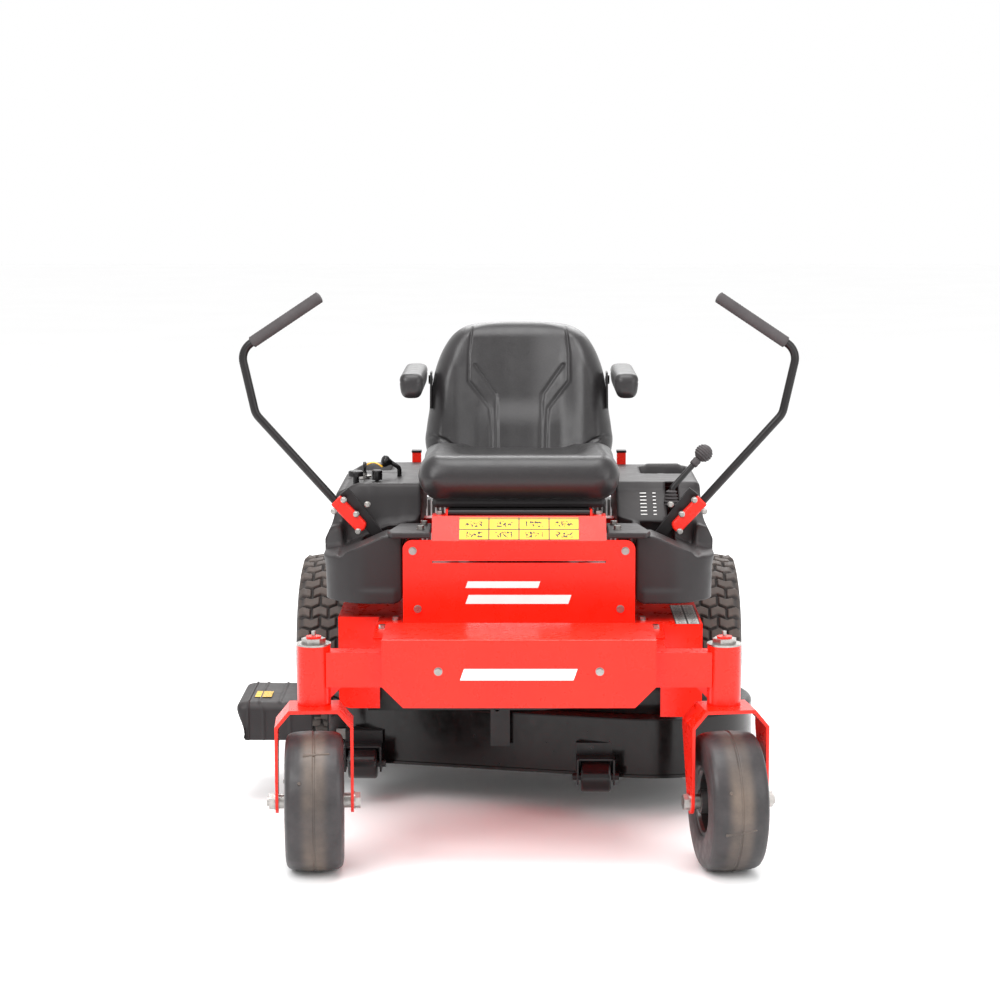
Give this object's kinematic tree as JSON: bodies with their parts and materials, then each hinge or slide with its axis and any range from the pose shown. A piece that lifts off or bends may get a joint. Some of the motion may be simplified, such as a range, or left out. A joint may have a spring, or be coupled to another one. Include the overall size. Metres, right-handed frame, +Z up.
{
  "type": "riding lawn mower",
  "caption": "Zero-turn riding mower: twin folding steering levers, padded seat on a tower, swivelling front casters, wide rear wheels and an offset cutting deck with side chute.",
  "frame": {"origin": "on the ground under the middle of the machine's bounding box", "axes": "+Z up, -Y the way the operator faces, +X to the machine's left"},
  "size_m": [1.227, 1.8017, 1.1297],
  "materials": {
    "red_paint": "gloss powder coat",
    "black_paint": "satin powder coat",
    "deck_paint": "gloss powder coat",
    "zinc": "bright zinc plate",
    "steel": "ground steel",
    "aluminium": "sand cast",
    "tyre": "moulded rubber",
    "grip_rubber": "smooth rubber",
    "belt_rubber": "wrapped rubber",
    "dark_plastic": "fine-grained moulded plastic",
    "gloss_plastic": "smooth moulded plastic",
    "tank_plastic": "blow-moulded plastic",
    "vinyl": "grained vinyl",
    "rim_enamel": "gloss enamel"
  },
  "bodies": {
    "chassis": {"main_frame": "red_paint", "front_beam": "red_paint", "front_bumper": "red_paint", "floor_pan": "red_paint", "seat_tower": "red_paint", "tower_panel": "red_paint", "tower_flap": "red_paint", "rear_guard": "red_paint", "frame_bolts": "zinc", "key_switch": "zinc", "transmissions": "aluminium", "drive_belt": "belt_rubber", "engine_block": "aluminium", "blower_housing": "gloss_plastic", "air_filter": "gloss_plastic", "muffler": "black_paint", "fuel_tank": "tank_plastic", "battery": "dark_plastic", "fender_left": "dark_plastic", "fender_right": "dark_plastic"},
    "ignition_key": {"ignition_key": "zinc"},
    "choke_knob": {"choke_knob": "gloss_plastic"},
    "blade_switch": {"blade_switch": "gloss_plastic"},
    "throttle_lever": {"throttle_lever": "gloss_plastic"},
    "height_lever": {"height_lever": "black_paint"},
    "seat": {"seat_plate": "black_paint", "seat_shell": "dark_plastic", "seat_cushion": "vinyl", "seat_backrest": "vinyl"},
    "engine_shaft": {"engine_pulleys": "steel"},
    "cutting_deck": {"deck_shell": "deck_paint", "deck_brackets": "black_paint", "blade_belt": "belt_rubber"},
    "discharge_chute": {"discharge_chute": "dark_plastic"},
    "steering_shaft_left": {"control_arm_left": "black_paint"},
    "steering_lever_left": {"lever_tube_left": "black_paint", "lever_grip_left": "grip_rubber"},
    "armrest_left": {"armrest_left": "vinyl"},
    "caster_left": {"caster_fork_left": "red_paint", "caster_hardware_left": "zinc"},
    "caster_wheel_left": {"caster_tyre_left": "tyre", "caster_rim_left": "rim_enamel"},
    "rear_wheel_left": {"rear_tyre_left": "tyre", "rear_rim_left": "rim_enamel"},
    "drive_pulley_left": {"drive_pulley_left": "steel"},
    "blade_spindle_left": {"blade_spindle_left": "steel"},
    "anti_scalp_roller_left": {"anti_scalp_roller_left": "gloss_plastic"},
    "steering_shaft_right": {"control_arm_right": "black_paint"},
    "steering_lever_right": {"lever_tube_right": "black_paint", "lever_grip_right": "grip_rubber"},
    "armrest_right": {"armrest_right": "vinyl"},
    "caster_right": {"caster_fork_right": "red_paint", "caster_hardware_right": "zinc"},
    "caster_wheel_right": {"caster_tyre_right": "tyre", "caster_rim_right": "rim_enamel"},
    "rear_wheel_right": {"rear_tyre_right": "tyre", "rear_rim_right": "rim_enamel"},
    "drive_pulley_right": {"drive_pulley_right": "steel"},
    "blade_spindle_right": {"blade_spindle_right": "steel"},
    "anti_scalp_roller_right": {"anti_scalp_roller_right": "gloss_plastic"}
  },
  "joints": [
    {"name": "engine_spin", "type": "hinge", "parent": "chassis", "child": "engine_shaft", "pos_m": [0, 0.418, 0.3], "axis": [0, 0, 1], "continuous": true},
    {"name": "deck_lift", "type": "slide", "parent": "chassis", "child": "cutting_deck", "axis": [0, 0, 1], "range_m": [-0.0485, 0.0101]},
    {"name": "chute_fold", "type": "hinge", "parent": "cutting_deck", "child": "discharge_chute", "pos_m": [-0.461, -0.115, 0.218], "axis": [0, 1, 0], "range_deg": [0, 70]},
    {"name": "seat_tilt", "type": "hinge", "parent": "chassis", "child": "seat", "pos_m": [0, -0.382, 0.6695], "axis": [1, 0, 0], "range_deg": [0, 55]},
    {"name": "height_lever_swing", "type": "hinge", "parent": "chassis", "child": "height_lever", "pos_m": [0.33, -0.165, 0.53], "axis": [1, 0, 0], "range_deg": [-4, 20]},
    {"name": "key_turn", "type": "hinge", "parent": "chassis", "child": "ignition_key", "pos_m": [-0.346, -0.055, 0.709], "axis": [0, 0, -1], "range_deg": [0, 75]},
    {"name": "choke_pull", "type": "slide", "parent": "chassis", "child": "choke_knob", "axis": [0, 0, 1], "range_m": [0, 0.022]},
    {"name": "blade_switch_pull", "type": "slide", "parent": "chassis", "child": "blade_switch", "axis": [0, 0, 1], "range_m": [0, 0.01]},
    {"name": "throttle_swing", "type": "hinge", "parent": "chassis", "child": "throttle_lever", "pos_m": [-0.27, -0.02, 0.655], "axis": [1, 0, 0], "range_deg": [-20, 22]},
    {"name": "steer_left", "type": "hinge", "parent": "chassis", "child": "steering_shaft_left", "pos_m": [0.26, -0.23, 0.57], "axis": [1, 0, 0], "range_deg": [-10, 15]},
    {"name": "lever_fold_left", "type": "hinge", "parent": "steering_shaft_left", "child": "steering_lever_left", "pos_m": [0.3, -0.23, 0.59], "axis": [0, -1, 0], "range_deg": [0, 34]},
    {"name": "armrest_fold_left", "type": "hinge", "parent": "seat", "child": "armrest_left", "pos_m": [0.2, 0.09, 0.912], "axis": [-1, 0, 0], "range_deg": [0, 95]},
    {"name": "caster_swivel_left", "type": "hinge", "parent": "chassis", "child": "caster_left", "pos_m": [0.411, -0.715, 0.39], "axis": [0, 0, 1], "continuous": true},
    {"name": "caster_spin_left", "type": "hinge", "parent": "caster_left", "child": "caster_wheel_left", "pos_m": [0.41726, -0.75956, 0.1397], "axis": [0.9903, 0.1392, 0], "continuous": true},
    {"name": "rear_wheel_spin_left", "type": "hinge", "parent": "chassis", "child": "rear_wheel_left", "pos_m": [0.431, 0.418, 0.2286], "axis": [1, 0, 0], "continuous": true},
    {"name": "drive_pulley_spin_left", "type": "hinge", "parent": "chassis", "child": "drive_pulley_left", "pos_m": [0.19, 0.418, 0.34], "axis": [0, 0, 1], "continuous": true},
    {"name": "blade_spin_left", "type": "hinge", "parent": "cutting_deck", "child": "blade_spindle_left", "pos_m": [0.29, -0.119, 0.2], "axis": [0, 0, 1], "continuous": true},
    {"name": "roller_spin_left", "type": "hinge", "parent": "cutting_deck", "child": "anti_scalp_roller_left", "pos_m": [0.165, -0.374, 0.095], "axis": [1, 0, 0], "continuous": true},
    {"name": "steer_right", "type": "hinge", "parent": "chassis", "child": "steering_shaft_right", "pos_m": [-0.26, -0.23, 0.57], "axis": [1, 0, 0], "range_deg": [-10, 15]},
    {"name": "lever_fold_right", "type": "hinge", "parent": "steering_shaft_right", "child": "steering_lever_right", "pos_m": [-0.3, -0.23, 0.59], "axis": [0, 1, 0], "range_deg": [0, 34]},
    {"name": "armrest_fold_right", "type": "hinge", "parent": "seat", "child": "armrest_right", "pos_m": [-0.2, 0.09, 0.912], "axis": [-1, 0, 0], "range_deg": [0, 95]},
    {"name": "caster_swivel_right", "type": "hinge", "parent": "chassis", "child": "caster_right", "pos_m": [-0.411, -0.715, 0.39], "axis": [0, 0, 1], "continuous": true},
    {"name": "caster_spin_right", "type": "hinge", "parent": "caster_right", "child": "caster_wheel_right", "pos_m": [-0.40825, -0.75992, 0.1397], "axis": [0.9981, 0.061, 0], "continuous": true},
    {"name": "rear_wheel_spin_right", "type": "hinge", "parent": "chassis", "child": "rear_wheel_right", "pos_m": [-0.431, 0.418, 0.2286], "axis": [1, 0, 0], "continuous": true},
    {"name": "drive_pulley_spin_right", "type": "hinge", "parent": "chassis", "child": "drive_pulley_right", "pos_m": [-0.19, 0.418, 0.34], "axis": [0, 0, 1], "continuous": true},
    {"name": "blade_spin_right", "type": "hinge", "parent": "cutting_deck", "child": "blade_spindle_right", "pos_m": [-0.218, 0.01, 0.2], "axis": [0, 0, 1], "continuous": true},
    {"name": "roller_spin_right", "type": "hinge", "parent": "cutting_deck", "child": "anti_scalp_roller_right", "pos_m": [-0.343, -0.252, 0.095], "axis": [1, 0, 0], "continuous": true}
  ],
  "couplings": [
    {"joint": "deck_lift", "follows": "height_lever_swing", "m_per_rad": -0.1377},
    {"joint": "drive_pulley_spin_left", "follows": "engine_spin", "ratio": 0.9},
    {"joint": "blade_spin_left", "follows": "engine_spin", "ratio": 0.99},
    {"joint": "drive_pulley_spin_right", "follows": "engine_spin", "ratio": 0.9},
    {"joint": "blade_spin_right", "follows": "engine_spin", "ratio": 0.99}
  ]
}
